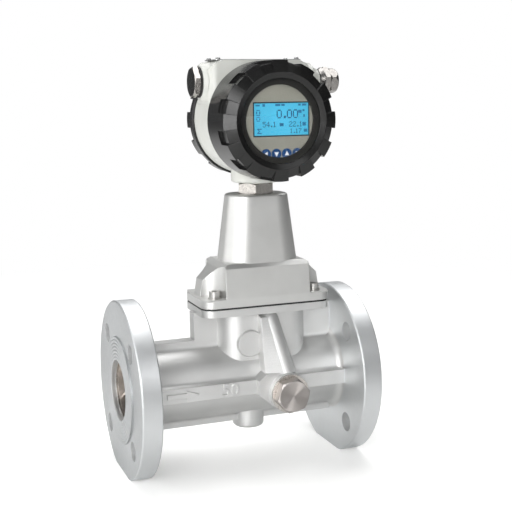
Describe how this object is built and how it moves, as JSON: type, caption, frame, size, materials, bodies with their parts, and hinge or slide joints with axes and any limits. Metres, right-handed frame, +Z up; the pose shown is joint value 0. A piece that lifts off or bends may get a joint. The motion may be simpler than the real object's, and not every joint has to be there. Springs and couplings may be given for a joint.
{
  "type": "vortex flow meter",
  "caption": "Flanged precession vortex gas flow meter: swirler bore, ribbed cast body, bonnet and stem, swivelling round head with window display, keys, gland and plug.",
  "frame": {"origin": "middle of the length and width, on the plane of the flange flats that the meter stands on", "axes": "+X along the pipe in the direction of flow, -Y the side with the display, +Z up"},
  "size_m": [0.23, 0.165, 0.3773],
  "materials": {
    "cast_aluminium": "satin",
    "bonnet_aluminium": "satin",
    "machined_aluminium": "satin",
    "housing_paint": "satin",
    "cover_paint": "satin",
    "stainless": "polished",
    "zinc_steel": "satin",
    "nickel_brass": "polished",
    "black_rubber": "matte",
    "ptfe": "matte",
    "window_glass": "polished",
    "dial_print": "satin",
    "lcd_glass": "satin",
    "key_blue": "satin",
    "circuit_board": "satin",
    "terminal_green": "satin",
    "bezel_black": "satin"
  },
  "bodies": {
    "meter": {"meter_body": "cast_aluminium", "swirler": "machined_aluminium", "swirler_ring": "stainless", "flow_straightener": "machined_aluminium", "straightener_ring": "stainless", "vortex_probe": "stainless", "temperature_probe": "stainless", "pressure_cell": "stainless", "port_washer": "stainless", "port_plug": "stainless", "bonnet_gasket": "black_rubber", "bonnet": "bonnet_aluminium", "bonnet_washers": "zinc_steel", "bonnet_screws": "zinc_steel", "union_nut": "stainless", "union_washer": "ptfe"},
    "head": {"head_housing": "housing_paint", "display_plate": "dial_print", "lcd_panel": "lcd_glass", "display_board": "circuit_board", "plate_spacers": "nickel_brass", "display_posts": "nickel_brass", "terminal_posts": "nickel_brass", "terminal_board": "circuit_board", "terminal_block": "terminal_green", "gland_seal_ring": "black_rubber", "cable_gland": "nickel_brass", "gland_nut": "nickel_brass", "gland_rubber": "black_rubber", "plug_seal_ring": "black_rubber", "blanking_plug": "nickel_brass", "nameplate": "stainless", "nameplate_rivets": "stainless"},
    "front_ring": {"front_cover_seal": "black_rubber"},
    "window_cover": {"front_cover": "cover_paint", "window_gasket": "black_rubber", "window_glass": "window_glass", "window_bezel": "bezel_black"},
    "back_ring": {"back_cover_seal": "black_rubber"},
    "blind_cover": {"back_cover": "cover_paint"},
    "left_key": {"key_left": "key_blue"},
    "down_key": {"key_down": "key_blue"},
    "up_key": {"key_up": "key_blue"},
    "right_key": {"key_right": "key_blue"}
  },
  "joints": [
    {"name": "head_swivel", "type": "hinge", "parent": "meter", "child": "head", "pos_m": [0.0225, 0, 0.2633], "axis": [0, 0, 1], "range_deg": [-175, 175]},
    {"name": "front_cover_turn", "type": "hinge", "parent": "head", "child": "front_ring", "pos_m": [0.0225, -0.019, 0.3205], "axis": [0, -1, 0], "range_deg": [0, 2880]},
    {"name": "front_cover_travel", "type": "slide", "parent": "front_ring", "child": "window_cover", "axis": [0, -1, 0], "range_m": [0, 0.012]},
    {"name": "back_cover_turn", "type": "hinge", "parent": "head", "child": "back_ring", "pos_m": [0.0225, 0.024, 0.3205], "axis": [0, 1, 0], "range_deg": [0, 2880]},
    {"name": "back_cover_travel", "type": "slide", "parent": "back_ring", "child": "blind_cover", "axis": [0, 1, 0], "range_m": [0, 0.012]},
    {"name": "left_key_press", "type": "slide", "parent": "head", "child": "left_key", "axis": [0, 1, 0], "range_m": [0, 0.0005], "stiffness_N_per_m": 2000, "springref_m": -0.0005},
    {"name": "down_key_press", "type": "slide", "parent": "head", "child": "down_key", "axis": [0, 1, 0], "range_m": [0, 0.0005], "stiffness_N_per_m": 2000, "springref_m": -0.0005},
    {"name": "up_key_press", "type": "slide", "parent": "head", "child": "up_key", "axis": [0, 1, 0], "range_m": [0, 0.0005], "stiffness_N_per_m": 2000, "springref_m": -0.0005},
    {"name": "right_key_press", "type": "slide", "parent": "head", "child": "right_key", "axis": [0, 1, 0], "range_m": [0, 0.0005], "stiffness_N_per_m": 2000, "springref_m": -0.0005}
  ],
  "couplings": [
    {"joint": "front_cover_travel", "follows": "front_cover_turn", "m_per_rad": 0.00023873},
    {"joint": "back_cover_travel", "follows": "back_cover_turn", "m_per_rad": 0.00023873}
  ]
}
